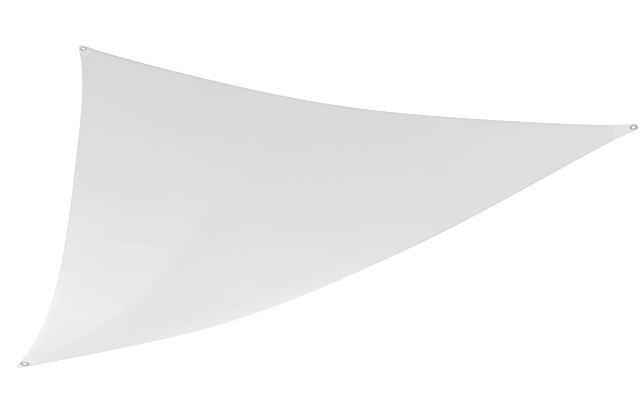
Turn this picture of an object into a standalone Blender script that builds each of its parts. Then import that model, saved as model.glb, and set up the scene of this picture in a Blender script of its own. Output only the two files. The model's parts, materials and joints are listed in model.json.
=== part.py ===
"""A triangular shade sail, pulled out flat between three corners and sagging a little between them.

Each edge is cut to a shallow inward curve. The cloth is two panels joined by a lapped seam. A folded
patch at each corner holds the corner of the cloth in a pocket, and an eyelet with a washer goes through it.

The sail is laid out on a level plan: the corner points a and c lie on the Y axis and b lies on +X.
Heights are measured up from corner a. An empty then moves the whole sail so that the centre of
eyelet b is the origin.
"""

import math
from collections import namedtuple

import bmesh
import bpy
import numpy as np
from mathutils import Vector, geometry

# Sizes in metres, along the cloth unless a comment says otherwise.
SIDE = 3.6
CLOTH = 0.0012
GAP = 0.0003
# The corner panel runs SEAM_LAP under the main one. It keeps to that lower level until SEAM_CLEAR past the
# main panel's edge, and has come up to the main panel's own level SEAM_STEP further on.
SEAM_LAP = 0.016
SEAM_CLEAR = 0.003
SEAM_STEP = 0.012

# A pocket leaves POCKET_PLAY above and below the cloth, because facets stand off the true curve.
POCKET_PLAY = 0.0006
POCKET_REACH = 0.195
POCKET_HALF_WIDTH = 0.075
PATCH_LAYER = 0.0010
PATCH_REACH = 0.150
PATCH_MARGIN = 0.008
TIP_RADIUS = 0.009

HOLE_RADIUS = 0.010
BARREL_WALL = 0.0008
FLANGE_RADIUS = 0.019
FLANGE_HEIGHT = 0.0016
FLANGE_ROUND = 0.0012
WASHER_RADIUS = 0.0185
WASHER_HEIGHT = 0.0010
CURL_RADIUS = 0.0138
CURL_HEIGHT = 0.0010
HOLE_CUTTER_HALF = 0.020

# How finely round and draped shapes are cut: a patch is divided into squares, and no cut comes nearer to
# its outline than SQUARE_MARGIN of a square.
TURNED_SIDES = 32
FLANGE_BEND_SIDES = 24
TIP_BEND_SIDES = 12
PATCH_STATIONS = (0.6, 0.8, 1.0)
PATCH_SQUARE = 0.024
SQUARE_MARGIN = 0.2
SHARP_ANGLE = math.radians(40)

# rise: height of the corner. inset: corner point to eyelet centre. reach: eyelet centre to end of the tip.
Corner = namedtuple("Corner", "name rise inset reach")
CORNERS = (
    Corner("a", 0.0, 0.056, 0.050),
    Corner("b", 0.25, 0.037, 0.027),
    Corner("c", -0.015, 0.066, 0.058),
)

# along: share of the way from the first corner to the second. inward: how far the edge is cut in from
# the straight line between them. drop: how far the cloth there hangs below that line.
Section = namedtuple("Section", "along inward drop")
Edge = namedtuple("Edge", "first second opposite sections")
EDGES = (
    Edge(0, 1, 2, (
        Section(0.1, 0.044, 0.011),
        Section(0.3, 0.074, 0.060),
        Section(0.5, 0.077, 0.092),
        Section(0.7, 0.074, 0.061),
        Section(0.9, 0.044, 0.011),
    )),
    Edge(1, 2, 0, (
        Section(0.1, 0.044, 0.090),
        Section(0.3, 0.074, 0.217),
        Section(0.5, 0.077, 0.275),
        Section(0.7, 0.074, 0.259),
        Section(0.9, 0.044, 0.108),
    )),
    Edge(2, 0, 1, (
        Section(0.1, 0.049, 0.067),
        Section(0.3, 0.083, 0.161),
        Section(0.5, 0.077, 0.189),
        Section(0.7, 0.064, 0.155),
        Section(0.9, 0.039, 0.066),
    )),
)

# A soft ridge runs up the sail from corner c. share: corner c's share of the place. crest: where the ridge
# lies between edge c-a at 0 and edge b-c at 1. rise: how far it stands over the cloth beside it. A larger
# RIDGE_ROUND gives a rounder crest.
RIDGE_ROUND = 0.06
Ridge = namedtuple("Ridge", "share crest rise")
RIDGE = (
    Ridge(0.00, 0.45, 0.0),
    Ridge(0.25, 0.45, 0.050),
    Ridge(0.40, 0.46, 0.075),
    Ridge(0.53, 0.48, 0.083),
    Ridge(0.65, 0.52, 0.068),
    Ridge(0.80, 0.55, 0.032),
    Ridge(0.90, 0.55, 0.007),
    Ridge(0.96, 0.55, 0.0005),
    Ridge(1.00, 0.55, 0.0),
)

# The cloth is divided into this many strips between edge a-b and corner c. The seam lies after
# SEAM_STRIPS of them, nearer to c where it meets edge c-a than where it meets edge b-c.
STRIPS = 35
SEAM_STRIPS = 20
SEAM_AT_CA = 0.590
SEAM_AT_BC = 0.513

CLOTH_COLOR = (0.80, 0.80, 0.79, 1.0)
PATCH_COLOR = (0.86, 0.86, 0.85, 1.0)
CLOTH_ROUGHNESS = 0.85
STEEL_COLOR = (0.62, 0.63, 0.65, 1.0)
STEEL_ROUGHNESS = 0.3


def natural_spline(stations, values):
    """A smooth function of the way along, through the values, and straight beyond either end."""
    count = len(stations)
    width = np.diff(stations)
    steep = np.diff(values) / width
    matrix = np.eye(count)
    right = np.zeros(count)
    for i in range(1, count - 1):
        matrix[i, i - 1:i + 2] = width[i - 1], 2 * (width[i - 1] + width[i]), width[i]
        right[i] = 6 * (steep[i] - steep[i - 1])
    bend = np.linalg.solve(matrix, right)
    start_slope = steep[0] - bend[1] * width[0] / 6
    end_slope = steep[-1] + bend[-2] * width[-1] / 6

    def value(at):
        if at <= stations[0]:
            return values[0] + start_slope * (at - stations[0])
        if at >= stations[-1]:
            return values[-1] + end_slope * (at - stations[-1])
        i = int(np.searchsorted(stations, at)) - 1
        a = (stations[i + 1] - at) / width[i]
        b = (at - stations[i]) / width[i]
        curved = (a**3 - a) * bend[i] + (b**3 - b) * bend[i + 1]
        return a * values[i] + b * values[i + 1] + curved * width[i] ** 2 / 6

    return value


def edge_curve(edge, column):
    stations = [0.0] + [section.along for section in edge.sections] + [1.0]
    values = [0.0] + [getattr(section, column) for section in edge.sections] + [0.0]
    return natural_spline(stations, values)


def corner_points():
    """The three corner points on the plan."""
    half = SIDE / 2
    across = math.sqrt(SIDE**2 - half**2 - CORNERS[1].rise ** 2)
    return Vector((0.0, half)), Vector((across, 0.0)), Vector((0.0, -half))


PLAN = corner_points()
MIDDLE = (PLAN[0] + PLAN[1] + PLAN[2]) / 3
INWARD_CURVES = [edge_curve(edge, "inward") for edge in EDGES]
DROP_CURVES = [edge_curve(edge, "drop") for edge in EDGES]
CREST_CURVE = natural_spline([r.share for r in RIDGE], [r.crest for r in RIDGE])
RISE_CURVE = natural_spline([r.share for r in RIDGE], [r.rise for r in RIDGE])
TO_WEIGHTS = np.linalg.inv(np.array([[p.x for p in PLAN], [p.y for p in PLAN], [1.0, 1.0, 1.0]]))


def way_between(first, second, weights):
    """How far a point lies from one corner towards another, as a share of the way."""
    both = weights[first] + weights[second]
    return weights[second] / both if abs(both) > 1e-9 else 0.5


def edge_share(edge, weights):
    """The way along the edge, and how strongly a point follows it: 1 on the edge, 0 at the far corner."""
    return way_between(edge.first, edge.second, weights), (1 - weights[edge.opposite]) ** 2


def ridge_rise(weights):
    """How far the soft ridge lifts a point: two straight slopes that meet in a rounded crest."""
    across = way_between(0, 1, weights)
    crest = CREST_CURVE(weights[2])
    left = across / crest
    right = (1 - across) / (1 - crest)
    return RISE_CURVE(weights[2]) * (left + right - math.hypot(left - right, RIDGE_ROUND)) / 2


def inward_normal(edge):
    run = (PLAN[edge.second] - PLAN[edge.first]).normalized()
    normal = Vector((-run.y, run.x))
    return normal if normal.dot(MIDDLE - PLAN[edge.first]) > 0 else -normal


def plan_point(weights):
    """The place on the plan of a point given by its share of each corner, with the edges' cut taken in."""
    point = sum((w * p for w, p in zip(weights, PLAN)), Vector((0.0, 0.0)))
    for edge, curve in zip(EDGES, INWARD_CURVES):
        along, strength = edge_share(edge, weights)
        point += inward_normal(edge) * curve(along) * strength
    return point


def height(x, y):
    """The height of the cloth's middle surface over a place on the plan."""
    weights = TO_WEIGHTS @ (x, y, 1.0)
    level = sum(w * corner.rise for w, corner in zip(weights, CORNERS))
    for edge, curve in zip(EDGES, DROP_CURVES):
        along, strength = edge_share(edge, weights)
        level -= curve(along) * strength
    return level + ridge_rise(weights)


def surface_normal(x, y):
    step = 0.0005
    slope_x = (height(x + step, y) - height(x - step, y)) / (2 * step)
    slope_y = (height(x, y + step) - height(x, y - step)) / (2 * step)
    return Vector((-slope_x, -slope_y, 1.0)).normalized()


def surface_point(x, y, offset=0.0):
    return Vector((x, y, height(x, y))) + surface_normal(x, y) * offset


def depth_from(index):
    """How far the corner is from the edge opposite. The middle is two thirds of the way there."""
    return (MIDDLE - PLAN[index]).length * 3 / 2


def eyelet_centre(index):
    """The eyelet's place on the plan, on the line from its corner point to the middle of the sail."""
    inward = (MIDDLE - PLAN[index]).normalized()
    return PLAN[index] + inward * CORNERS[index].inset


def make_material(name, color, roughness, metallic=0.0):
    material = bpy.data.materials.new(name)
    material.use_nodes = True
    shader = material.node_tree.nodes["Principled BSDF"]
    shader.inputs["Base Color"].default_value = color
    shader.inputs["Roughness"].default_value = roughness
    shader.inputs["Metallic"].default_value = metallic
    material.diffuse_color = color
    return material


def make_object(name, mesh, material):
    made = bpy.data.objects.new(name, mesh)
    bpy.context.scene.collection.objects.link(made)
    if material:
        mesh.materials.append(material)
    return made


def drape(name, sheet, thickness, material=None):
    """Makes a closed cloth from a flat triangulated sheet and frees the sheet.

    Each vertex of the sheet holds a place on the plan in x and y, and in z how far the middle of
    the cloth lies above the sail's own surface there.
    """
    faces_up = [[v.index for v in face.verts] for face in sheet.faces]
    rim = [
        [loop.vert.index, loop.link_loop_next.vert.index]
        for edge in sheet.edges
        if edge.is_boundary
        for loop in edge.link_loops
    ]
    top = [surface_point(v.co.x, v.co.y, v.co.z + thickness / 2) for v in sheet.verts]
    bottom = [surface_point(v.co.x, v.co.y, v.co.z - thickness / 2) for v in sheet.verts]
    sheet.free()
    under = len(top)
    faces = faces_up + [[under + i for i in reversed(face)] for face in faces_up]
    for start, end in rim:
        faces.append([end, start, under + start])
        faces.append([end, under + start, under + end])
    mesh = bpy.data.meshes.new(name)
    mesh.from_pydata(top + bottom, [], faces)
    mesh.update()
    return make_object(name, mesh, material)


def finish_sheet(sheet):
    """Numbers the vertices and turns every face of a flat sheet upwards."""
    sheet.verts.index_update()
    sheet.faces.ensure_lookup_table()
    for face in sheet.faces:
        face.normal_update()
        if face.normal.z < 0:
            face.normal_flip()


def sheet_of_rows(rows):
    """A flat sheet joining each row of points to the next, whose lengths differ by one at most."""
    sheet = bmesh.new()
    made = [[sheet.verts.new(point) for point in row] for row in rows]
    for here, after in zip(made, made[1:]):
        longer, shorter = (here, after) if len(here) >= len(after) else (after, here)
        for i in range(len(longer) - 1):
            if i < len(shorter):
                sheet.faces.new((longer[i], longer[i + 1], shorter[i]))
            if i + 1 < len(shorter):
                sheet.faces.new((longer[i + 1], shorter[i + 1], shorter[i]))
    finish_sheet(sheet)
    return sheet


def seam_share(across):
    """Corner c's share on the seam, at a share of the way across from edge c-a to edge b-c."""
    return SEAM_AT_CA + (SEAM_AT_BC - SEAM_AT_CA) * across


def cross_row(segments, share_of_c, offset=0.0, first=0.0, last=1.0):
    """A row of points across the sail, where share_of_c gives corner c's share at each way across."""
    row = []
    for i in range(segments + 1):
        across = first + (last - first) * i / segments
        share = share_of_c(across)
        place = plan_point(((1 - share) * (1 - across), (1 - share) * across, share))
        row.append((place.x, place.y, offset))
    return row


def make_main_panel(material):
    """From edge a-b to the seam, with the corner points a and b cut off inside their patches."""
    cut = 1 / STRIPS
    rows = [cross_row(STRIPS - 2, lambda across: 0.0, first=cut, last=1 - cut)]
    for strip in range(1, SEAM_STRIPS + 1):
        share = strip / SEAM_STRIPS
        rows.append(cross_row(STRIPS - strip, lambda across, share=share: share * seam_share(across)))
    return drape("panel_main", sheet_of_rows(rows), CLOTH, material)


def make_corner_panel(material):
    """From its lap under the main panel to its end inside the patch at corner c."""
    seam_segments = STRIPS - SEAM_STRIPS
    under = -(CLOTH + 2 * GAP)

    def beside_seam(distance, offset):
        share = distance / depth_from(2)
        return cross_row(seam_segments, lambda across: seam_share(across) + share, offset)

    rows = [
        beside_seam(-SEAM_LAP, under),
        beside_seam(SEAM_CLEAR, under),
        beside_seam(SEAM_CLEAR + SEAM_STEP, 0.0),
    ]
    for strip in range(1, seam_segments):
        share = strip / seam_segments
        rows.append(
            cross_row(
                seam_segments - strip,
                lambda across, share=share: seam_share(across) + (1 - seam_share(across)) * share,
            )
        )
    return drape("panel_corner", sheet_of_rows(rows), CLOTH, material)


def circle_points(centre, radius, count):
    turn = 2 * math.pi / count
    return [centre + radius * Vector((math.cos(i * turn), math.sin(i * turn))) for i in range(count)]


def patch_outline(index):
    """The patch on the plan: along both edges of the sail, round the eyelet and out to the tip."""
    share = PATCH_REACH / SIDE
    points = []
    for neighbour in range(3):
        if neighbour == index:
            continue
        for part in PATCH_STATIONS:
            weights = [0.0, 0.0, 0.0]
            weights[index] = 1 - share * part
            weights[neighbour] = share * part
            points.append(plan_point(weights))
    centre = eyelet_centre(index)
    outward = (PLAN[index] - MIDDLE).normalized()
    points += circle_points(centre, FLANGE_RADIUS + PATCH_MARGIN, FLANGE_BEND_SIDES)
    tip_centre = centre + outward * (CORNERS[index].reach - TIP_RADIUS)
    points += circle_points(tip_centre, TIP_RADIUS, TIP_BEND_SIDES)
    return [points[i] for i in geometry.convex_hull_2d(points)]


def cut_sheet(outline, index):
    """A flat sheet of this outline, cut into squares across and along the line through the corner."""
    outward = (PLAN[index] - MIDDLE).normalized()
    sheet = bmesh.new()
    sheet.faces.new([sheet.verts.new((p.x, p.y, 0.0)) for p in outline])
    for direction in (outward, Vector((-outward.y, outward.x))):
        reaches = [(p - PLAN[index]).dot(direction) for p in outline]
        first = math.ceil(min(reaches) / PATCH_SQUARE + SQUARE_MARGIN)
        last = math.floor(max(reaches) / PATCH_SQUARE - SQUARE_MARGIN)
        for step in range(first, last + 1):
            place = PLAN[index] + direction * (step * PATCH_SQUARE)
            bmesh.ops.bisect_plane(
                sheet,
                geom=sheet.verts[:] + sheet.edges[:] + sheet.faces[:],
                plane_co=(place.x, place.y, 0.0),
                plane_no=(direction.x, direction.y, 0.0),
            )
    bmesh.ops.triangulate(sheet, faces=sheet.faces[:])
    finish_sheet(sheet)
    return sheet


def subtract(body, cutter):
    cutter.hide_render = True
    cutter.display_type = "WIRE"
    modifier = body.modifiers.new(cutter.name, "BOOLEAN")
    modifier.operation = "DIFFERENCE"
    modifier.solver = "EXACT"
    modifier.object = cutter


def pocket_outline(index):
    """A strip wider and longer than the patch, from just past the end of the cloth inwards."""
    inward = (MIDDLE - PLAN[index]).normalized()
    side = Vector((-inward.y, inward.x))
    cut_shares = (
        min(1 / STRIPS, SEAM_AT_CA / SEAM_STRIPS),
        min(1 / STRIPS, SEAM_AT_BC / SEAM_STRIPS),
        (1 - max(SEAM_AT_CA, SEAM_AT_BC)) / (STRIPS - SEAM_STRIPS),
    )
    start = PLAN[index] + inward * (cut_shares[index] * depth_from(index) - POCKET_PLAY)
    end = PLAN[index] + inward * POCKET_REACH
    wide = side * POCKET_HALF_WIDTH
    return [start - wide, end - wide, end + wide, start + wide]


def make_patch(index, material):
    """A folded patch: solid round the eyelet, and open behind it as a pocket for the cloth."""
    name = CORNERS[index].name
    pocket_height = CLOTH + 2 * POCKET_PLAY
    patch = drape(
        "patch_" + name,
        cut_sheet(patch_outline(index), index),
        pocket_height + 2 * PATCH_LAYER,
        material,
    )
    subtract(patch, drape("pocket_" + name, cut_sheet(pocket_outline(index), index), pocket_height))
    radius = HOLE_RADIUS + BARREL_WALL + GAP
    cutter = ((radius, HOLE_CUTTER_HALF), (radius, -HOLE_CUTTER_HALF))
    subtract(patch, make_turned("hole_" + name, index, cutter, None))
    return patch


def make_turned(name, index, profile, material):
    """A profile of (radius, height) points turned round the eyelet's axis, listed from the top down outside.

    A profile of two points makes a plain capped cylinder. A longer one is a closed ring.
    """
    turned = bmesh.new()
    loops = []
    for radius, level in profile:
        ring = circle_points(Vector((0.0, 0.0)), radius, TURNED_SIDES)
        loops.append([turned.verts.new((p.x, p.y, level)) for p in ring])
    pairs = list(zip(loops, loops[1:]))
    if len(profile) > 2:
        pairs.append((loops[-1], loops[0]))
    else:
        turned.faces.new(loops[0])
        turned.faces.new(list(reversed(loops[1])))
    for upper, lower in pairs:
        for i in range(TURNED_SIDES):
            j = (i + 1) % TURNED_SIDES
            turned.faces.new((upper[j], upper[i], lower[i], lower[j]))
    mesh = bpy.data.meshes.new(name)
    turned.to_mesh(mesh)
    turned.free()
    mesh.shade_smooth()
    mesh.set_sharp_from_angle(angle=SHARP_ANGLE)
    made = make_object(name, mesh, material)
    centre = eyelet_centre(index)
    made.location = surface_point(centre.x, centre.y)
    made.rotation_euler = surface_normal(centre.x, centre.y).to_track_quat("Z", "Y").to_euler()
    return made


def patch_half_height():
    return CLOTH / 2 + POCKET_PLAY + PATCH_LAYER


def make_eyelet(index, material):
    """A round flange on the upper face, a barrel through the patch, and a curl that grips the washer."""
    under_flange = patch_half_height() + GAP
    top = under_flange + FLANGE_HEIGHT
    curl_top = -(patch_half_height() + 2 * GAP + WASHER_HEIGHT)
    curl_bottom = curl_top - CURL_HEIGHT
    barrel = HOLE_RADIUS + BARREL_WALL
    soft = FLANGE_ROUND / 3
    profile = (
        (HOLE_RADIUS, top - FLANGE_ROUND),
        (HOLE_RADIUS + soft, top - soft),
        (HOLE_RADIUS + FLANGE_ROUND, top),
        (FLANGE_RADIUS - FLANGE_ROUND, top),
        (FLANGE_RADIUS - soft, top - soft),
        (FLANGE_RADIUS, top - FLANGE_ROUND),
        (FLANGE_RADIUS, under_flange),
        (barrel, under_flange),
        (barrel, curl_top),
        (CURL_RADIUS, curl_top),
        (CURL_RADIUS, curl_bottom + soft),
        (CURL_RADIUS - soft, curl_bottom),
        (HOLE_RADIUS + soft, curl_bottom),
        (HOLE_RADIUS, curl_bottom + soft),
    )
    return make_turned("eyelet_" + CORNERS[index].name, index, profile, material)


def make_washer(index, material):
    top = -(patch_half_height() + GAP)
    bottom = top - WASHER_HEIGHT
    inner = HOLE_RADIUS + BARREL_WALL + GAP
    soft = WASHER_HEIGHT / 3
    profile = (
        (inner, top),
        (WASHER_RADIUS - soft, top),
        (WASHER_RADIUS, top - soft),
        (WASHER_RADIUS, bottom),
        (inner, bottom),
    )
    return make_turned("washer_" + CORNERS[index].name, index, profile, material)


def clear_scene():
    for old in list(bpy.data.objects):
        bpy.data.objects.remove(old, do_unlink=True)


def build():
    clear_scene()
    cloth = make_material("sail_cloth", CLOTH_COLOR, CLOTH_ROUGHNESS)
    patch = make_material("corner_patch_cloth", PATCH_COLOR, CLOTH_ROUGHNESS)
    steel = make_material("eyelet_steel", STEEL_COLOR, STEEL_ROUGHNESS, metallic=1.0)
    make_main_panel(cloth)
    make_corner_panel(cloth)
    for index in range(len(CORNERS)):
        make_patch(index, patch)
        make_eyelet(index, steel)
        make_washer(index, steel)
    rig = bpy.data.objects.new("sail_rig", None)
    bpy.context.scene.collection.objects.link(rig)
    held = eyelet_centre(1)
    rig.location = -surface_point(held.x, held.y)
    for made in bpy.data.objects:
        if made is not rig:
            made.parent = rig


build()
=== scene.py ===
"""The looks of a triangular shade sail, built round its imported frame.

The cloth follows the same surface as the CAD: a triangle cut to shallow inward curves, which sags between
its three corners and has a soft ridge running up from corner c. On that surface lie two hemmed panels with
a lapped seam, a folded patch with an eyelet and a washer at each corner, and all the rows of stitches.

A place on the sail is given by its share of each corner (three weights that add up to 1), then as a point
of a level plan, and last as a point in space with a height and an offset along the surface's normal.
All sizes are in metres.
"""

import json
import math
from collections import namedtuple

import bmesh
import bpy
import numpy as np
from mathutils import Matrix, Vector, geometry


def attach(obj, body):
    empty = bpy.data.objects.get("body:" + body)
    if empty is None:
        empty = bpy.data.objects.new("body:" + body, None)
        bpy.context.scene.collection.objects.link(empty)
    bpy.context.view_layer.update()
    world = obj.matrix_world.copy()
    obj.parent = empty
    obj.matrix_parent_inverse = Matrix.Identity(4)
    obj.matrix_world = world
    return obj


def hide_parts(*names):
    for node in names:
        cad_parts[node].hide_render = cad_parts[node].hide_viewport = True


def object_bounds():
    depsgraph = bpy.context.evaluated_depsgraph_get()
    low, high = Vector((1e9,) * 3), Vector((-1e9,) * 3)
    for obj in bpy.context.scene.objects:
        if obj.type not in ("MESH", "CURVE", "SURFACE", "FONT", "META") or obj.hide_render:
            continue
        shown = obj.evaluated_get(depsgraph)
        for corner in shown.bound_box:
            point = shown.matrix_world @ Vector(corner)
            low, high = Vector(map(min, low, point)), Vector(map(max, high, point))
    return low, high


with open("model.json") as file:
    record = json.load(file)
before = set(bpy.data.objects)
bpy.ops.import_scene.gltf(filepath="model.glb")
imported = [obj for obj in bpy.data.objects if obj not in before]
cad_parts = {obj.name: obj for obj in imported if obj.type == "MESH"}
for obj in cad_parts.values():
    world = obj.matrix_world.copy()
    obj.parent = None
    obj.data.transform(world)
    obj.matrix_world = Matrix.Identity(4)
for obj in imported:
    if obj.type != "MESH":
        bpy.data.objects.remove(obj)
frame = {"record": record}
cad_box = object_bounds()

# The sail's own shape, as in the CAD.
SIDE = 3.6
RIDGE_ROUND = 0.06
SEAM_AT_CA = 0.590
SEAM_AT_BC = 0.513
SEAM_LAP = 0.016
PATCH_REACH = 0.150
PATCH_MARGIN = 0.008
TIP_RADIUS = 0.009
FLANGE_RADIUS = 0.019
HOLE_RADIUS = 0.010

# rise: height of the corner. inset: corner point to eyelet centre. reach: eyelet centre to end of the tip.
Corner = namedtuple("Corner", "name rise inset reach")
CORNERS = (
    Corner("a", 0.0, 0.056, 0.050),
    Corner("b", 0.25, 0.037, 0.027),
    Corner("c", -0.015, 0.066, 0.058),
)

# along: share of the way from the first corner to the second. inward: how far the edge is cut in from
# the straight line between them. drop: how far the cloth there hangs below that line.
Section = namedtuple("Section", "along inward drop")
Edge = namedtuple("Edge", "first second opposite sections")
EDGES = (
    Edge(0, 1, 2, (
        Section(0.1, 0.044, 0.011),
        Section(0.3, 0.074, 0.060),
        Section(0.5, 0.077, 0.092),
        Section(0.7, 0.074, 0.061),
        Section(0.9, 0.044, 0.011),
    )),
    Edge(1, 2, 0, (
        Section(0.1, 0.044, 0.090),
        Section(0.3, 0.074, 0.217),
        Section(0.5, 0.077, 0.275),
        Section(0.7, 0.074, 0.259),
        Section(0.9, 0.044, 0.108),
    )),
    Edge(2, 0, 1, (
        Section(0.1, 0.049, 0.067),
        Section(0.3, 0.083, 0.161),
        Section(0.5, 0.077, 0.189),
        Section(0.7, 0.064, 0.155),
        Section(0.9, 0.039, 0.066),
    )),
)

# share: corner c's share of the place. crest: where the ridge lies between edge c-a at 0 and edge b-c
# at 1. rise: how far it stands over the cloth beside it.
Ridge = namedtuple("Ridge", "share crest rise")
RIDGE = (
    Ridge(0.00, 0.45, 0.0),
    Ridge(0.25, 0.45, 0.050),
    Ridge(0.40, 0.46, 0.075),
    Ridge(0.53, 0.48, 0.083),
    Ridge(0.65, 0.52, 0.068),
    Ridge(0.80, 0.55, 0.032),
    Ridge(0.90, 0.55, 0.007),
    Ridge(0.96, 0.55, 0.0005),
    Ridge(1.00, 0.55, 0.0),
)

# The cloth. A profile is read from the outer edge inwards: inside is the distance from the edge, above
# and below are what the folded layers add to each face, and full is the share of the thickness left
# where the fold closes.
CLOTH_HALF = 0.0003
STITCH_LINE = 0.0335
HEM_WIDTH = 0.0385
Station = namedtuple("Station", "inside above below full")
HEM = (
    Station(0.0, 0.0, 0.0, 0.2),
    Station(0.0002, 0.00005, 0.0001, 0.7),
    Station(0.0007, 0.0001, 0.0003, 0.9),
    Station(0.0018, 0.0001, 0.0004, 1.0),
    Station(0.0050, 0.0001, 0.0004, 1.0),
    Station(0.0100, 0.0001, 0.0004, 1.0),
    Station(0.0170, 0.0001, 0.0004, 1.0),
    Station(0.0250, 0.0001, 0.0004, 1.0),
    Station(0.0305, 0.00005, 0.0003, 1.0),
    Station(0.0325, 0.00002, 0.0002, 1.0),
    Station(STITCH_LINE, -0.00004, 0.0001, 1.0),
    Station(0.0345, 0.0, 0.0002, 1.0),
    Station(0.0365, 0.0, 0.0003, 1.0),
    Station(0.0380, 0.0, 0.0002, 1.0),
    Station(HEM_WIDTH, 0.0, 0.0, 1.0),
    Station(0.0450, 0.0, 0.0, 1.0),
    Station(0.0550, 0.0, 0.0, 1.0),
)
SEAM_ROWS = (0.0032, 0.0120)
SEAM = (
    Station(0.0, 0.0, 0.0, 0.2),
    Station(0.0002, 0.0001, 0.0, 0.7),
    Station(0.0007, 0.0003, 0.0, 0.9),
    Station(0.0018, 0.0004, 0.0, 1.0),
    Station(SEAM_ROWS[0], 0.0001, 0.0, 1.0),
    Station(0.0050, 0.0005, 0.0, 1.0),
    Station(0.0085, 0.0005, 0.0, 1.0),
    Station(SEAM_ROWS[1], 0.0001, 0.0, 1.0),
    Station(0.0135, 0.0003, 0.0, 1.0),
    Station(SEAM_LAP, 0.0001, 0.0, 1.0),
    Station(0.0185, 0.0, 0.0, 1.0),
    Station(0.0260, 0.0, 0.0, 1.0),
)

# Bands of painted shade and painted light along the edges, which run in the order a-b, b-c, c-a: painted
# shade along the rolled hems, and painted light in wider borders inside edges b-c and c-a. start and end are
# the distances from the edge between which the band fades out. Each tone gives how much darker, or lighter if
# it is negative, the cloth is painted at a share of the way along the edge.
Tone = namedtuple("Tone", "along darker")
Band = namedtuple("Band", "edge start end tones")
# Painted shade along the rolled hem of edge a-b.
HEM_SHADE_AB = Band(0, 0.015, 0.032, (
    Tone(0.0, 0.15),
    Tone(0.10, 0.13),
    Tone(0.22, 0.075),
    Tone(0.85, 0.065),
    Tone(1.0, 0.03),
))
# Painted shade along the rolled hem of edge b-c.
HEM_SHADE_BC = Band(1, 0.009, 0.022, (
    Tone(0.0, 0.04),
    Tone(0.25, 0.06),
    Tone(0.32, 0.09),
    Tone(0.39, 0.09),
    Tone(0.46, 0.0),
    Tone(0.86, 0.0),
    Tone(0.91, 0.06),
    Tone(1.0, 0.03),
))
# Painted light in a wide border inside edge b-c.
PAINTED_LIGHT_BC = Band(1, 0.01, 0.15, (
    Tone(0.40, 0.0),
    Tone(0.50, -0.03),
    Tone(0.62, -0.05),
    Tone(0.78, -0.05),
    Tone(0.88, 0.0),
))
# Painted shade along the rolled hem of edge c-a.
HEM_SHADE_CA = Band(2, 0.005, 0.012, (
    Tone(0.15, 0.0),
    Tone(0.40, 0.09),
))
# Painted light in a border inside edge c-a, near corner c.
PAINTED_LIGHT_CA = Band(2, 0.02, 0.08, (
    Tone(0.0, -0.03),
    Tone(0.22, -0.03),
    Tone(0.32, 0.0),
))
BANDS = (HEM_SHADE_AB, HEM_SHADE_BC, PAINTED_LIGHT_BC, HEM_SHADE_CA, PAINTED_LIGHT_CA)

# The corner panel lies under the main panel up to LAP_END past the seam, and then rises to its own level
# over LAP_STEP. Its rows near the seam lie at these distances past it.
LAYER_GAP = 0.0001
LAP_END = 0.003
LAP_STEP = 0.012
LAP_ROWS = (-SEAM_LAP, -0.010, -0.004, 0.0, LAP_END, 0.006, 0.009, 0.012, LAP_END + LAP_STEP, 0.022)

# The share of the sail's depth that the panels' corners are cut short by, inside the patches.
CORNER_CUT = 0.0286
# Where the sail is narrow, a hem takes at most this share of its width.
HEM_SHARE = 0.45

# Rows and columns of vertices between the hems and the seam, and how often a grid is worked out again.
COLUMNS_MAIN = 150
ROWS_MAIN = 100
COLUMNS_CORNER = 100
ROWS_CORNER = 84
SETTLING_TURNS = 6
NORMAL_STEP = 0.0005


def natural_spline(stations, values):
    """A smooth function of the way along, through the values, and straight beyond either end."""
    stations, values = np.array(stations), np.array(values)
    count = len(stations)
    width = np.diff(stations)
    steep = np.diff(values) / width
    matrix = np.eye(count)
    right = np.zeros(count)
    for i in range(1, count - 1):
        matrix[i, i - 1:i + 2] = width[i - 1], 2 * (width[i - 1] + width[i]), width[i]
        right[i] = 6 * (steep[i] - steep[i - 1])
    bend = np.linalg.solve(matrix, right)
    start_slope = steep[0] - bend[1] * width[0] / 6
    end_slope = steep[-1] + bend[-2] * width[-1] / 6

    def value(at):
        inside = np.clip(at, stations[0], stations[-1])
        i = (np.searchsorted(stations, inside) - 1).clip(0, count - 2)
        a = (stations[i + 1] - inside) / width[i]
        b = 1 - a
        curved = (a**3 - a) * bend[i] + (b**3 - b) * bend[i + 1]
        before = start_slope * np.minimum(at - stations[0], 0)
        after = end_slope * np.maximum(at - stations[-1], 0)
        return a * values[i] + b * values[i + 1] + curved * width[i] ** 2 / 6 + before + after

    return value


def edge_curve(edge, column):
    stations = [0.0] + [section.along for section in edge.sections] + [1.0]
    values = [0.0] + [getattr(section, column) for section in edge.sections] + [0.0]
    return natural_spline(stations, values)


def corner_points():
    """The three corner points on the plan."""
    half = SIDE / 2
    across = math.sqrt(SIDE**2 - half**2 - CORNERS[1].rise ** 2)
    return np.array([(0.0, half), (across, 0.0), (0.0, -half)])


PLAN = corner_points()
MIDDLE = PLAN.mean(axis=0)
# From a corner to the edge across from it, which is one and a half times as far as to the middle.
DEPTH = np.linalg.norm(MIDDLE - PLAN[2]) * 1.5
TO_MIDDLE = [(MIDDLE - corner) / np.linalg.norm(MIDDLE - corner) for corner in PLAN]
INWARD_CURVES = [edge_curve(edge, "inward") for edge in EDGES]
DROP_CURVES = [edge_curve(edge, "drop") for edge in EDGES]
CREST_CURVE = natural_spline([r.share for r in RIDGE], [r.crest for r in RIDGE])
RISE_CURVE = natural_spline([r.share for r in RIDGE], [r.rise for r in RIDGE])
TO_WEIGHTS = np.linalg.inv(np.vstack([PLAN.T, np.ones(3)]))


def way_between(first, second, weights):
    """How far each point lies from one corner towards another, as a share of the way."""
    both = weights[..., first] + weights[..., second]
    far = np.abs(both) > 1e-9
    return np.where(far, weights[..., second] / np.where(far, both, 1.0), 0.5)


def edge_share(edge, weights):
    """The way along the edge, and how strongly a point follows it: 1 on the edge, 0 at the far corner."""
    return way_between(edge.first, edge.second, weights), (1 - weights[..., edge.opposite]) ** 2


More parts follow.
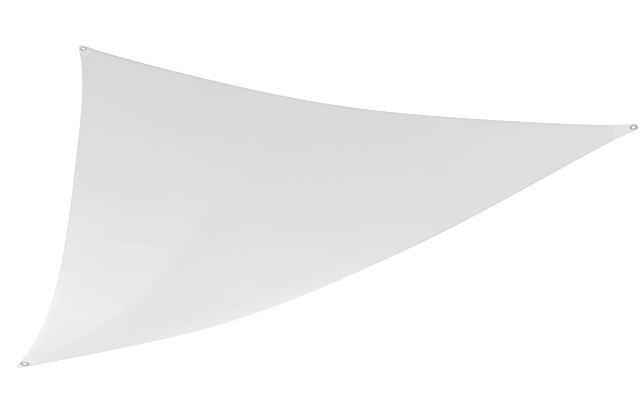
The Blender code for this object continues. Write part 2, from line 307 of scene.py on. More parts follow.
def inward_normal(edge):
    run = PLAN[edge.second] - PLAN[edge.first]
    normal = np.array((-run[1], run[0])) / np.linalg.norm(run)
    return normal if normal @ (MIDDLE - PLAN[edge.first]) > 0 else -normal


def plan_places(weights):
    """The places on the plan of points given by their share of each corner, with the edges' cut taken in."""
    places = weights @ PLAN
    for edge, curve in zip(EDGES, INWARD_CURVES):
        along, strength = edge_share(edge, weights)
        places = places + (curve(along) * strength)[..., None] * inward_normal(edge)
    return places


def weights_of(share, across):
    """Weights from corner c's share and the share of the way across from edge c-a to edge b-c."""
    return np.stack([(1 - share) * (1 - across), (1 - share) * across, share], axis=-1)


def path_places(share, across):
    return plan_places(weights_of(share, across))


def ridge_rise(weights):
    """How far the soft ridge lifts a point: two straight slopes that meet in a rounded crest."""
    share = weights[..., 2]
    across = way_between(0, 1, weights)
    crest = CREST_CURVE(share)
    left = across / crest
    right = (1 - across) / (1 - crest)
    return RISE_CURVE(share) * (left + right - np.hypot(left - right, RIDGE_ROUND)) / 2


def heights(places):
    """The height of the cloth's middle surface over places on the plan."""
    ones = np.ones(places.shape[:-1] + (1,))
    weights = np.concatenate([places, ones], axis=-1) @ TO_WEIGHTS.T
    level = weights @ [corner.rise for corner in CORNERS]
    for edge, curve in zip(EDGES, DROP_CURVES):
        along, strength = edge_share(edge, weights)
        level = level - curve(along) * strength
    return level + ridge_rise(weights)


def normals(places):
    """The upward unit normals of the cloth's middle surface over places on the plan."""
    step = NORMAL_STEP
    slope_x = (heights(places + (step, 0)) - heights(places - (step, 0))) / (2 * step)
    slope_y = (heights(places + (0, step)) - heights(places - (0, step))) / (2 * step)
    upright = np.stack([-slope_x, -slope_y, np.ones_like(slope_x)], axis=-1)
    return upright / np.linalg.norm(upright, axis=-1, keepdims=True)


def eyelet_place(index):
    """The eyelet's place on the plan, on the line from its corner point to the middle of the sail."""
    return PLAN[index] + TO_MIDDLE[index] * CORNERS[index].inset


def held_place():
    """Where the frame says the sail is held, which is the centre of eyelet b."""
    record = frame["record"]
    held = record["physics"]["held_by_mount"]
    return np.array(next(m["pos_m"] for m in record["mounts"] if m["name"] == held))


def on_surface(places, offset=0.0):
    """Points in space over places on the plan, at an offset along the surface's normal."""
    flat = np.concatenate([places, heights(places)[..., None]], axis=-1)
    return flat + normals(places) * np.asarray(offset)[..., None] + SHIFT


SHIFT = held_place() - np.array([*eyelet_place(1), heights(eyelet_place(1))])


# Corner fans: low creases that spread from each eyelet and fade in and out between two distances from it.
# Each fan is a sum of waves round the eyelet.
Fan = namedtuple("Fan", "corner creases height start end")
FANS = (
    Fan(0, 26, 0.0006, 0.10, 0.60),
    Fan(1, 34, 0.0008, 0.10, 0.85),
    Fan(2, 22, 0.0002, 0.10, 0.55),
)
Wave = namedtuple("Wave", "often strong start")
WAVES = (Wave(1.0, 1.0, 0.7), Wave(1.7, 0.6, 2.1))


def smooth(low, high, value):
    """A soft step from 0 at low to 1 at high."""
    t = np.clip((value - low) / (high - low), 0, 1)
    return t * t * (3 - 2 * t)


def fan_creases(places):
    """The height of the creases that the pull at each corner raises in the cloth."""
    total = np.zeros(places.shape[:-1])
    for fan in FANS:
        away = places - eyelet_place(fan.corner)
        reach = np.linalg.norm(away, axis=-1)
        inward = TO_MIDDLE[fan.corner]
        turn = np.arctan2(away[..., 1], away[..., 0]) - math.atan2(inward[1], inward[0])
        turn = (turn + math.pi) % (2 * math.pi) - math.pi
        wave = sum(w.strong * np.sin(w.often * fan.creases * turn + w.start) for w in WAVES)
        fade = smooth(fan.start, fan.start * 2, reach) * (1 - smooth(fan.start * 2, fan.end, reach))
        total += fan.height * wave * fade
    return total


def add_object(name, data):
    made = bpy.data.objects.new(name, data)
    bpy.context.scene.collection.objects.link(made)
    return made


def new_object(name, points, faces, material):
    mesh = bpy.data.meshes.new(name)
    mesh.from_pydata([tuple(p) for p in points], [], faces)
    mesh.update()
    mesh.materials.append(material)
    mesh.shade_smooth()
    return add_object(name, mesh)


def rim_faces(rows, columns):
    """The faces that close a sheet's upper grid against its lower grid, round all four sides."""
    ring = list(range(columns))
    ring += [r * columns + columns - 1 for r in range(1, rows)]
    ring += [(rows - 1) * columns + c for c in range(columns - 2, -1, -1)]
    ring += [r * columns for r in range(rows - 2, 0, -1)]
    under = rows * columns
    pairs = zip(ring, ring[1:] + ring[:1])
    return [(start, under + start, under + end, end) for start, end in pairs]


def closed_faces(rows, columns):
    """The faces of a closed sheet: its upper grid, its lower grid and its rim."""
    upper = []
    for r in range(rows - 1):
        for c in range(columns - 1):
            start = r * columns + c
            upper.append((start, start + 1, start + columns + 1, start + columns))
    lower = [tuple(v + rows * columns for v in reversed(face)) for face in upper]
    return upper + lower + rim_faces(rows, columns)


def both_sides(places, above, below):
    """The points of a sheet's upper side and then of its lower side, at offsets from the middle surface."""
    offsets = [np.broadcast_to(side, places.shape[:2]) for side in (above, below)]
    return np.concatenate([on_surface(places, offset).reshape(-1, 3) for offset in offsets])


def numbers(profile, column):
    """One column of a table as an array."""
    return np.array([getattr(station, column) for station in profile])


def seam_share(across):
    """Corner c's share on the seam, at a share of the way across from edge c-a to edge b-c."""
    return SEAM_AT_CA + (SEAM_AT_BC - SEAM_AT_CA) * across


def room_across(share):
    """How far apart edges c-a and b-c are, square to either of them, in a row at this share of corner c."""
    return SIDE * (1 - share) * math.sin(math.radians(60))


def across_places(share, start, inner):
    """The share of the way across for every vertex of a grid whose outer columns follow both hems.

    start is where a row begins and, from the far side, ends. inner is the number of columns between hems.
    """
    room = room_across(share)
    hem = numbers(HEM, "inside")
    squeeze = np.minimum(1, HEM_SHARE * (1 - 2 * start) * room / hem[-1]) / room
    low = start + hem[-1] * squeeze
    high = 1 - low
    fraction = np.arange(1, inner + 1) / (inner + 1)
    left = slice(0, len(hem))
    middle = slice(len(hem), len(hem) + inner)
    right = slice(len(hem) + inner, None)
    across = np.empty_like(share)
    across[:, left] = start[:, left] + hem * squeeze[:, left]
    across[:, middle] = low[:, middle] + (high - low)[:, middle] * fraction
    across[:, right] = 1 - start[:, right] - hem[::-1] * squeeze[:, right]
    return across


def solved_grid(shares, start, rows, inner):
    """Shares and ways across of a panel's vertices.

    Each depends a little on the other, so they are settled in turns.
    """
    across = np.full((rows, inner + 2 * len(HEM)), 0.5)
    for _ in range(SETTLING_TURNS):
        share = shares(across)
        across = across_places(share, start(share), inner)
    return share, across


def column_profile(column, inner, filler=0.0):
    """A column of the hem's table for both ends of a row, with the filler between them."""
    values = numbers(HEM, column)
    return np.concatenate([values, np.full(inner, filler), values[::-1]])


def cloth_between(name, share, across, above, below, material):
    """A closed panel from a grid of places and the offsets of its upper and lower faces."""
    weights = weights_of(share, across)
    places = plan_places(weights)
    creases = fan_creases(places)
    points = both_sides(places, above + creases, below + creases)
    made = new_object(name, points, closed_faces(*share.shape), material)
    turn_outwards(made)
    room = room_across(share)
    distances = (share * DEPTH, (1 - across) * room, across * room)
    write_attribute(made, "edge_distance", np.minimum.reduce(distances))
    write_attribute(made, "seam_distance", np.abs(share - seam_share(across)) * DEPTH)
    # The bands' painted shade and painted light, stored as a factor on the colour.
    tone = np.ones_like(share)
    for band in BANDS:
        along, _ = edge_share(EDGES[band.edge], weights)
        tone -= band_shade(band, along, distances[band.edge])
    write_attribute(made, "fold_tone", tone)
    return made


def band_shade(band, along, distance):
    """How much painted shade a band lays on the cloth, or painted light where it is negative,
    at a share of the way along its edge and a distance from it.
    """
    darker = np.interp(along, numbers(band.tones, "along"), numbers(band.tones, "darker"))
    return darker * (1 - smooth(band.start, band.end, distance))


def write_attribute(made, name, values):
    """Stores one number for each vertex of the upper face, and the same below it."""
    both = np.tile(values.reshape(-1), 2).astype(np.float32)
    made.data.attributes.new(name, "FLOAT", "POINT").data.foreach_set("value", both)


def make_main_panel(material):
    """From the hem of edge a-b to the folded edge of the seam, cut short inside the patches at a and b."""
    hem = numbers(HEM, "inside") / DEPTH
    seam = numbers(SEAM, "inside")[::-1] / DEPTH
    rows = len(hem) + ROWS_MAIN + len(seam)
    fraction = (np.arange(1, ROWS_MAIN + 1) / (ROWS_MAIN + 1))[:, None]

    def shares(across):
        inner = across[len(hem):len(hem) + ROWS_MAIN]
        last = across[len(hem) + ROWS_MAIN:]
        hem_rows = np.repeat(hem[:, None], across.shape[1], axis=1)
        inner_rows = hem[-1] + (seam_share(inner) - seam[0] - hem[-1]) * fraction
        return np.concatenate([hem_rows, inner_rows, seam_share(last) - seam[:, None]])

    def start(share):
        return np.maximum(0, CORNER_CUT - share)

    share, across = solved_grid(shares, start, rows, COLUMNS_MAIN)

    def thickness(column, filler=0.0):
        ends = numbers(HEM, column), numbers(SEAM, column)[::-1]
        down = np.concatenate([ends[0], np.full(ROWS_MAIN, filler), ends[1]])
        return down[:, None], column_profile(column, COLUMNS_MAIN, filler)[None, :]

    full_down, full_across = thickness("full", 1.0)
    above = CLOTH_HALF + stacked(*thickness("above"))
    below = CLOTH_HALF + stacked(*thickness("below"))
    full = full_down * full_across
    return cloth_between("sail_main", share, across, above * full, -below * full, material)


def stacked(down, across):
    """What two profiles that cross add to a face: the larger fold, and in a line of stitches the smaller."""
    return np.where(np.minimum(down, across) < 0, np.minimum(down, across), np.maximum(down, across))


def lap_offset(inner):
    """How far the corner panel's middle lies below the main panel's where it is lapped under it."""
    main_below = CLOTH_HALF + column_profile("below", inner)
    own_above = CLOTH_HALF + column_profile("above", inner)
    return -(main_below + own_above + LAYER_GAP)


def make_corner_panel(material):
    """From its lap under the main panel to its end inside the patch at corner c."""
    lap = np.array(LAP_ROWS)
    end = 1 - CORNER_CUT
    rows = len(lap) + ROWS_CORNER
    fraction = (np.arange(1, ROWS_CORNER + 1) / ROWS_CORNER)[:, None]

    def shares(across):
        first, rest = across[:len(lap)], across[len(lap):]
        begin = seam_share(rest) + lap[-1] / DEPTH
        return np.concatenate([seam_share(first) + lap[:, None] / DEPTH, begin + (end - begin) * fraction])

    share, across = solved_grid(shares, np.zeros_like, rows, COLUMNS_CORNER)
    under = 1 - smooth(LAP_END, LAP_END + LAP_STEP, (share - seam_share(across)) * DEPTH)
    middle = under * lap_offset(COLUMNS_CORNER)[None, :]
    full = column_profile("full", COLUMNS_CORNER, 1.0)[None, :]
    above = middle + (CLOTH_HALF + column_profile("above", COLUMNS_CORNER)[None, :]) * full
    below = middle - (CLOTH_HALF + column_profile("below", COLUMNS_CORNER)[None, :]) * full
    return cloth_between("sail_corner", share, across, above, below, material)


# Corner patches. inside is the distance from the patch's own outline, half is half its thickness there. The
# outline passes round discs whose centres lie at these shares of the patch's reach along each edge.
Lip = namedtuple("Lip", "inside half")
PATCH_STATIONS = (0.6, 0.8, 0.96)
PATCH_OVER = 0.0018
PATCH_ROUND = 0.007
PATCH_STITCH = 0.0050
PATCH_HALF = 0.0013
POCKET_HALF = 0.0008
POCKET_PLAY = 0.0004
PATCH_LIP = (
    Lip(0.0, 0.0002),
    Lip(0.0003, 0.0006),
    Lip(0.0008, 0.0009),
    Lip(0.0018, 0.0011),
    Lip(0.0032, 0.0012),
    Lip(0.0043, 0.0011),
    Lip(PATCH_STITCH, 0.0009),
    Lip(0.0057, 0.0011),
    Lip(0.0068, PATCH_HALF),
)
PATCH_POINTS = 240
PATCH_RINGS = 16
PATCH_SHARP = 50
DISC_SIDES = 48

# The pocket in each patch, which the panel's corner fits into.
POCKET_REACH = PATCH_REACH * 1.4
POCKET_ROWS = 14
POCKET_COLUMNS = 12

# How much of a band's painted shade and light shows on a patch, and how far behind the eyelet it fades in.
# The patches at a, b and c are darker than their material's colour by these shares.
BAND_ON_PATCH = 0.6
BAND_FADE = 0.02
PATCH_DARKER = (0.01, 0.02, 0.03)
EDGE_LINE_REACH = PATCH_REACH * 1.3
EDGE_LINE_POINTS = 120

# Eyelets and washers, turned round the eyelet's axis. Heights are from the middle of the patch.
TURNED_SIDES = 96
METAL_SHARP = 40
BARREL_RADIUS = 0.0108
BARREL_PLAY = 0.0001
FLANGE_TOP = 0.0026
FLANGE_LIP = 0.0013
# The flange's dome beyond the lip: its radius and how far it has dropped there.
DOME = ((0.0140, 0.00005), (0.0162, 0.00025))
RIM_SIZE = (0.0016, 0.0007)
RIM_LIFT = 0.0003
RIM_UNDERCUT = 0.0012
CURL_RADIUS = 0.0138
CURL_DROP = 0.0010
CURL_ROUND = 0.0006
WASHER_RADIUS = 0.0185
WASHER_HEIGHT = 0.0008
WASHER_EDGE = (0.0005, 0.0004)
WASHER_DISH = ((0.0160, 0.0001), (0.0142, 0.0))


def disc(centre, radius):
    """Points round a circle on the plan."""
    turn = np.linspace(0, 2 * math.pi, DISC_SIDES, endpoint=False)
    return centre + radius * np.column_stack([np.cos(turn), np.sin(turn)])


def corner_weights(index, away, across):
    """Weights near a corner: away is the share of the other two, and across splits it between them."""
    first, second = [other for other in range(3) if other != index]
    weights = np.empty(np.broadcast(away, across).shape + (3,))
    weights[..., index] = 1 - away
    weights[..., first] = away * (1 - across)
    weights[..., second] = away * across
    return weights


def from_corner(index, edge, away):
    """Places on one of a corner's two edges, at these shares of the side away from the corner."""
    weights = np.zeros((len(away), 3))
    weights[:, edge.second if edge.first == index else edge.first] = away
    weights[:, index] = 1 - away
    return plan_places(weights)


def patch_outline(index):
    """Evenly spaced points round the patch: along both edges, round the eyelet and out to the tip."""
    points = []
    for edge in EDGES:
        if edge.opposite == index:
            continue
        line = from_corner(index, edge, PATCH_REACH / SIDE * np.array(PATCH_STATIONS))
        for centre in line + inward_normal(edge) * (PATCH_ROUND - PATCH_OVER):
            points.append(disc(centre, PATCH_ROUND))
    centre = eyelet_place(index)
    points.append(disc(centre, FLANGE_RADIUS + PATCH_MARGIN + PATCH_OVER))
    tip = centre - TO_MIDDLE[index] * (CORNERS[index].reach - TIP_RADIUS)
    points.append(disc(tip, TIP_RADIUS + PATCH_OVER))
    points = np.concatenate(points)
    hull = points[geometry.convex_hull_2d([tuple(p) for p in points])]
    return evenly_spaced(np.concatenate([hull, hull[:1]]), PATCH_POINTS + 1)[:-1]


def evenly_spaced(path, count):
    """This many points at equal distances along a path of points, ends included."""
    lengths = np.linalg.norm(np.diff(path, axis=0), axis=1)
    along = np.concatenate([[0], np.cumsum(lengths)])
    at = np.linspace(0, along[-1], count)
    return np.column_stack([np.interp(at, along, path[:, axis]) for axis in range(path.shape[1])])


def inward_of(outline):
    """The inward direction at each point of an outline that runs anticlockwise or clockwise."""
    run = np.roll(outline, -1, axis=0) - np.roll(outline, 1, axis=0)
    inward = np.column_stack([-run[:, 1], run[:, 0]]) / np.linalg.norm(run, axis=1)[:, None]
    towards = outline.mean(axis=0) - outline
    return inward * np.sign((inward * towards).sum(axis=1).mean())


def make_patch(index, material):
    """A folded patch round its eyelet's hole, with a pocket that holds the corner of the panel."""
    outline = patch_outline(index)
    inward = inward_of(outline)
    rings = [outline + inward * lip.inside for lip in PATCH_LIP]
    halves = [lip.half for lip in PATCH_LIP]
    lip_end = rings[-1]
    away = lip_end - eyelet_place(index)
    hole = eyelet_place(index) + away / np.linalg.norm(away, axis=1)[:, None] * (BARREL_RADIUS + BARREL_PLAY)
    for step in range(1, PATCH_RINGS + 1):
        rings.append(lip_end * (1 - step / PATCH_RINGS) + hole * (step / PATCH_RINGS))
        halves.append(PATCH_HALF)
    places = np.array(rings)
    half = np.array(halves)[:, None]
    name = "corner_patch_" + CORNERS[index].name
    faces = ring_faces(len(rings), PATCH_POINTS)
    made = new_object(name, both_sides(places, half, -half), faces, material)
    # The bands' painted shade and light on the patch, and its own darker tone.
    write_attribute(made, "fold_tone", 1 - patch_shade(index, places))
    turn_outwards(made)
    cut_pocket(made, index)
    return made


def patch_shade(index, places):
    """How much darker the patch is: a little all over, and more where the bands' painted shade crosses it."""
    total = np.zeros(places.shape[:-1])
    from_tip = np.linalg.norm(places - PLAN[index], axis=-1)
    clear = CORNERS[index].inset
    for band in BANDS:
        edge = EDGES[band.edge]
        if edge.opposite == index:
            continue
        line = from_corner(index, edge, np.linspace(0, EDGE_LINE_REACH / SIDE, EDGE_LINE_POINTS))
        distance = np.linalg.norm(places[..., None, :] - line, axis=-1).min(axis=-1)
        shade = band_shade(band, 0.0 if edge.first == index else 1.0, distance)
        total += shade * smooth(clear, clear + BAND_FADE, from_tip)
    return total * BAND_ON_PATCH + PATCH_DARKER[index]


def ring_faces(rings, count):
    """The faces of a ring-shaped sheet: inwards over its top, down its hole and outwards below to its rim."""
    chain = [*range(rings), *range(2 * rings - 1, rings - 1, -1)]
    faces = []
    for ring, after in zip(chain, chain[1:] + chain[:1]):
        for c in range(count):
            d = (c + 1) % count
            faces.append((ring * count + c, ring * count + d, after * count + d, after * count + c))
    return faces


def turn_outwards(made):
    """Turns every face of a closed mesh outwards."""
    work = bmesh.new()
    work.from_mesh(made.data)
    bmesh.ops.recalc_face_normals(work, faces=work.faces[:])
    work.to_mesh(made.data)
    work.free()


def cut_pocket(patch, index):
    """Cuts the pocket out of a patch, a little larger all round than the panel's corner."""
    share = CORNER_CUT - POCKET_PLAY / DEPTH
    away = np.linspace(share, POCKET_REACH / SIDE, POCKET_ROWS)[:, None]
    beyond = POCKET_PLAY / room_across(1 - away)
    across = -beyond + (1 + 2 * beyond) * np.linspace(0, 1, POCKET_COLUMNS)[None, :]
    places = plan_places(corner_weights(index, away, across))
    points = both_sides(places, POCKET_HALF, -POCKET_HALF)
    faces = closed_faces(POCKET_ROWS, POCKET_COLUMNS)
    cutter = new_object("pocket_" + CORNERS[index].name, points, faces, patch.data.materials[0])
    turn_outwards(cutter)
    modifier = patch.modifiers.new("pocket", "BOOLEAN")
    modifier.operation = "DIFFERENCE"
    modifier.solver = "EXACT"
    modifier.object = cutter
    graph = bpy.context.evaluated_depsgraph_get()
    cut = bpy.data.meshes.new_from_object(patch.evaluated_get(graph))
    patch.modifiers.clear()
    patch.data = cut
    bpy.data.objects.remove(cutter)
    patch.data.set_sharp_from_angle(angle=math.radians(PATCH_SHARP))


def arc(centre, size, start, end, steps=8):
    """Points of an elliptical arc in (radius, height), with its angles in degrees."""
    turns = np.radians(np.linspace(start, end, steps + 1))
    return [(centre[0] + size[0] * math.cos(t), centre[1] + size[1] * math.sin(t)) for t in turns]


def make_turned(name, index, profile, material):
    """A ring turned from a closed profile of (radius, height), set square to the cloth at a corner."""
    count = len(profile)
    turns = np.linspace(0, 2 * math.pi, TURNED_SIDES, endpoint=False)
    points = [(r * math.cos(t), r * math.sin(t), z) for t in turns for r, z in profile]
    faces = []
    for side in range(TURNED_SIDES):
        here, after = side * count, (side + 1) % TURNED_SIDES * count
        for i in range(count):
            j = (i + 1) % count
            faces.append((here + i, after + i, after + j, here + j))
    made = new_object(name, points, faces, material)
    turn_outwards(made)
    made.data.set_sharp_from_angle(angle=math.radians(METAL_SHARP))
    place = eyelet_place(index)
    made.location = Vector(on_surface(place))
    made.rotation_euler = Vector(normals(place)).to_track_quat("Z", "Y").to_euler()
    return made


def make_eyelet(index, material):
    """A domed flange above, a barrel through the patch, and its end rolled out over the washer."""
    seat = PATCH_HALF
    lip = FLANGE_LIP
    curl_middle = (HOLE_RADIUS + CURL_RADIUS) / 2
    curl_size = ((CURL_RADIUS - HOLE_RADIUS) / 2, CURL_DROP)
    curl_level = -(PATCH_HALF + WASHER_HEIGHT)
    profile = arc((HOLE_RADIUS + lip, FLANGE_TOP - lip), (lip, lip), 180, 90)
    profile += [(radius, FLANGE_TOP - drop) for radius, drop in DOME]
    profile += arc((FLANGE_RADIUS - RIM_SIZE[0], seat + RIM_LIFT), RIM_SIZE, 80, -10)
    profile += [(FLANGE_RADIUS - RIM_UNDERCUT, seat), (BARREL_RADIUS, seat), (BARREL_RADIUS, curl_level)]
    profile += [(CURL_RADIUS - CURL_ROUND, curl_level)]
    profile += arc((curl_middle, curl_level), curl_size, -10, -180, 12)
    return make_turned("corner_eyelet_" + CORNERS[index].name, index, profile, material)


def make_washer(index, material):
    """A slightly dished ring, pressed against the underside of the patch."""
    top = -PATCH_HALF
    bottom = top - WASHER_HEIGHT
    inner = BARREL_RADIUS + BARREL_PLAY
    profile = [(inner, top), (WASHER_RADIUS - WASHER_EDGE[0], top)]
    profile += arc((WASHER_RADIUS - WASHER_EDGE[0], top - WASHER_EDGE[1]), WASHER_EDGE, 70, -60, 6)
    profile += [(radius, bottom + lift) for radius, lift in WASHER_DISH]
    profile += [(inner, bottom)]
    return make_turned("corner_washer_" + CORNERS[index].name, index, profile, material)


# Stitches: short threads that rise out of the cloth and dive back into it. The hems' rows start and end
# inside the patches and stop beside the seam, and the seam's rows stop short of the sail's edges.
ROW_START = PATCH_REACH * 0.95 / SIDE
BESIDE_SEAM = 0.004
SEAM_ROW_ENDS = (0.02, 0.98)
LONG_ROW_POINTS = 400
ROW_POINTS = 300
STITCH_PITCH = 0.0042
THREAD_RADIUS = 0.00028
THREAD_SIDES = 5
Bead = namedtuple("Bead", "along thick lift")
STITCH_SHAPE = (
    Bead(-0.44, 0.0, -0.8),
    Bead(-0.30, 0.8, 0.1),
    Bead(0.0, 1.0, 0.5),
    Bead(0.30, 0.8, 0.1),
    Bead(0.44, 0.0, -0.8),
)


def stitch_row(places, offset, side):
    """Vertices and faces of a row of stitches along a path on the plan. side is 1 on top and -1 below."""
    line = on_surface(places, np.full(len(places), offset))
    line = line + normals(places) * fan_creases(places)[:, None]
    length = np.linalg.norm(np.diff(line, axis=0), axis=1).sum()
    count = max(2, int(length / STITCH_PITCH))
    spots = evenly_spaced(np.column_stack([places, line]), count + 1)
    middles = (spots[1:] + spots[:-1]) / 2
    along = spots[1:, 2:] - spots[:-1, 2:]
    along /= np.linalg.norm(along, axis=1)[:, None]
    up = normals(middles[:, :2]) * side
    aside = np.cross(up, along)
    points, faces = [], []
    inner = STITCH_SHAPE[1:-1]
    size = len(inner) * THREAD_SIDES + 2
    for centre, x, y, z in zip(middles[:, 2:], along, aside, up):
        first = len(points)
        for bead in STITCH_SHAPE:
            spot = centre + x * (bead.along * STITCH_PITCH) + z * (bead.lift * THREAD_RADIUS)
            if bead.thick == 0:
                points.append(spot)
                continue
            for i in range(THREAD_SIDES):
                turn = 2 * math.pi * i / THREAD_SIDES
                ring = (y * math.cos(turn) + z * math.sin(turn)) * (bead.thick * THREAD_RADIUS)
                points.append(spot + ring)
        last = first + size - 1
        for i in range(THREAD_SIDES):
            j = (i + 1) % THREAD_SIDES
            faces.append((first, first + 1 + j, first + 1 + i))
            for r in range(len(inner) - 1):
                low, high = first + 1 + r * THREAD_SIDES, first + 1 + (r + 1) * THREAD_SIDES
                faces.append((low + i, low + j, high + j, high + i))
            low = last - THREAD_SIDES
            faces.append((low + i, low + j, last))
    return points, faces


def stitches(name, rows, material):
    """One object of all the rows, each given as (places, offset, side)."""
    points, faces = [], []
    for places, offset, side in rows:
        more, more_faces = stitch_row(places, offset, side)
        faces += [tuple(v + len(points) for v in face) for face in more_faces]
        points += more
    made = new_object(name, points, faces, material)
    turn_outwards(made)
    return made


def hem_rows(start, end, far_side):
    """The rows on the hem beside edge c-a, or edge b-c on the far side, between two shares of corner c."""
    share = np.linspace(start, end, ROW_POINTS)
    inside = STITCH_LINE / room_across(share)
    return both_faces(path_places(share, 1 - inside if far_side else inside))


def both_faces(places):
    """The two rows of a hem, in its groove above the cloth and below it."""
    groove = next(station for station in HEM if station.inside == STITCH_LINE)
    return [(places, CLOTH_HALF + groove.above, 1), (places, -CLOTH_HALF - groove.below, -1)]


def make_stitches(material):
    """The rows on both panels, on the seam and round the patches."""
    across = np.linspace(ROW_START, 1 - ROW_START, LONG_ROW_POINTS)
    main = both_faces(path_places(np.full_like(across, STITCH_LINE / DEPTH), across))
    corner = []
    for far_side in (False, True):
        meets = seam_share(1.0 if far_side else 0.0)
        main += hem_rows(ROW_START, meets - BESIDE_SEAM, far_side)
        corner += hem_rows(meets + BESIDE_SEAM, 1 - ROW_START, far_side)
    seam = []
    for inside in SEAM_ROWS:
        across = np.linspace(*SEAM_ROW_ENDS, ROW_POINTS)
        places = path_places(seam_share(across) - inside / DEPTH, across)
        thick = next(s for s in SEAM if s.inside == inside)
        seam.append((places, CLOTH_HALF + thick.above, 1))
        seam.append((places, -3 * CLOTH_HALF - LAYER_GAP, -1))
    rows = {"stitches_main": main, "stitches_corner": corner, "stitches_seam": seam}
    for index, facts in enumerate(CORNERS):
        outline = patch_outline(index)
        line = outline + inward_of(outline) * PATCH_STITCH
        line = np.concatenate([line, line[:1]])
        half = next(lip.half for lip in PATCH_LIP if lip.inside == PATCH_STITCH)
        rows["stitches_patch_" + facts.name] = [(line, half, 1), (line, -half, -1)]
    return {name: stitches(name, sewn, material) for name, sewn in rows.items()}


# Materials. Colours are linear, and a tone is a factor on the colour.
SAIL_COLOR = (0.715, 0.722, 0.739, 1.0)
PATCH_COLOR = (0.762, 0.769, 0.783, 1.0)
THREAD_COLOR = (0.77, 0.775, 0.785, 1.0)
METAL_COLOR = (0.36, 0.37, 0.39, 1.0)
FLOOR_COLOR = (0.95, 0.95, 0.95, 1.0)
WHITE = (1.0, 1.0, 1.0, 1.0)
# Painted shade in the grooves along the rows of stitches on the hems.
GROOVE_SHADE = 0.99
# A painted highlight along the seam's folded edge.
SEAM_HIGHLIGHT = 1.02
# A painted reflection that brightens the barrel inside the eyelet's hole.
BARREL_REFLECTION = 2.2
# The barrel's painted reflection ends between these radii.
BARREL_ENDS = (HOLE_RADIUS + 0.0001, HOLE_RADIUS + 0.0012)
# Puckers die away at these distances from the stitches and from the seam.
HEM_PUCKERS = 0.022
SEAM_PUCKERS = 0.030
# How a noise is stretched along the threads of the cloth and along the scratches in the metal.
SLUB_SCALE = (14.0, 420.0, 1.0)
SCRATCH_SCALE = (2500.0, 260.0, 260.0)
SCRATCH_TURN = 0.4
THREAD_PITCH = 0.0008
# A wave texture has this many waves to the unit at a scale of 1, and a noise mostly keeps to this range.
WAVES_PER_UNIT = 20 / (2 * math.pi)
NOISE_RANGE = (0.3, 0.7)


class Nodes:
    """Adds nodes to one material and links them."""

    def __init__(self, name):
        self.material = bpy.data.materials.new(name)
        self.material.use_nodes = True
        self.tree = self.material.node_tree
        self.shader = self.tree.nodes["Principled BSDF"]

    def add(self, kind, inputs=None, **settings):
        node = self.tree.nodes.new("ShaderNode" + kind)
        for key, value in settings.items():
            setattr(node, key, value)
        for key, value in (inputs or {}).items():
            self.connect(value, node.inputs[key])
        return node

    def connect(self, value, socket):
        if isinstance(value, bpy.types.NodeSocket):
            self.tree.links.new(value, socket)
        else:
            socket.default_value = value

    def math(self, operation, *values):
        return self.add("Math", dict(enumerate(values)), operation=operation).outputs[0]

    def place(self, turn=0.0, scale=(1.0, 1.0, 1.0)):
        coordinates = self.add("TexCoord").outputs["Object"]
        inputs = {"Vector": coordinates, "Rotation": (0.0, 0.0, turn), "Scale": scale}
        return self.add("Mapping", inputs).outputs[0]

    def noise(self, vector, scale, detail=3.0, rough=0.5):
        inputs = {"Vector": vector, "Scale": scale, "Detail": detail, "Roughness": rough}
        return self.add("TexNoise", inputs).outputs["Fac"]

    def band(self, vector, direction, pitch):
        inputs = {"Vector": vector, "Scale": 1 / (pitch * WAVES_PER_UNIT)}
        return self.add("TexWave", inputs, bands_direction=direction).outputs["Fac"]

    def spread(self, value, low, high, to_low, to_high, kind="LINEAR"):
        inputs = {"Value": value, "From Min": low, "From Max": high, "To Min": to_low, "To Max": to_high}
        return self.add("MapRange", inputs, interpolation_type=kind).outputs["Result"]

    def soft_step(self, value, low, high, to_low, to_high):
        return self.spread(value, low, high, to_low, to_high, "SMOOTHSTEP")

    def vary(self, noise, low, high):
        """A noise spread over a range of values."""
        return self.spread(noise, *NOISE_RANGE, low, high)

    def attribute(self, name):
        return self.add("Attribute", attribute_name=name).outputs["Fac"]

    def set(self, **values):
        """Values of the shader's own inputs, whose names are given with _ for a space."""
        for key, value in values.items():
            self.connect(value, self.shader.inputs[key.replace("_", " ")])

    def tint(self, color, factor):
        """The colour times a factor that varies over the surface."""
        grey = self.add("CombineColor", {"Red": factor, "Green": factor, "Blue": factor}).outputs[0]
        mix = self.add("Mix", data_type="RGBA", blend_type="MULTIPLY")
        mix.inputs["Factor"].default_value = 1.0
        self.connect(color, mix.inputs["A"])
        self.connect(grey, mix.inputs["B"])
        return mix.outputs["Result"]

    def bump(self, height, distance, strength, below=None):
        inputs = {"Height": height, "Distance": distance, "Strength": strength}
        if below:
            inputs["Normal"] = below
        return self.add("Bump", inputs).outputs[0]


def seam_turn():
    """The direction of the seam on the plan, which the threads of the cloth follow."""
    ends = path_places(np.array([SEAM_AT_CA, SEAM_AT_BC]), np.array([0.0, 1.0]))
    run = ends[1] - ends[0]
    return math.atan2(run[1], run[0])


def weave_height(nodes, pitch):
    """A plain weave: threads that pass over and under each other in turn."""
    place = nodes.place(turn=-seam_turn())
    warp = nodes.band(place, "X", 2 * pitch)
    weft = nodes.band(place, "Y", 2 * pitch)
    over = nodes.math("MULTIPLY", warp, weft)
    under = nodes.math("MULTIPLY", nodes.math("SUBTRACT", 1.0, warp), nodes.math("SUBTRACT", 1.0, weft))
    return nodes.math("ADD", over, under)


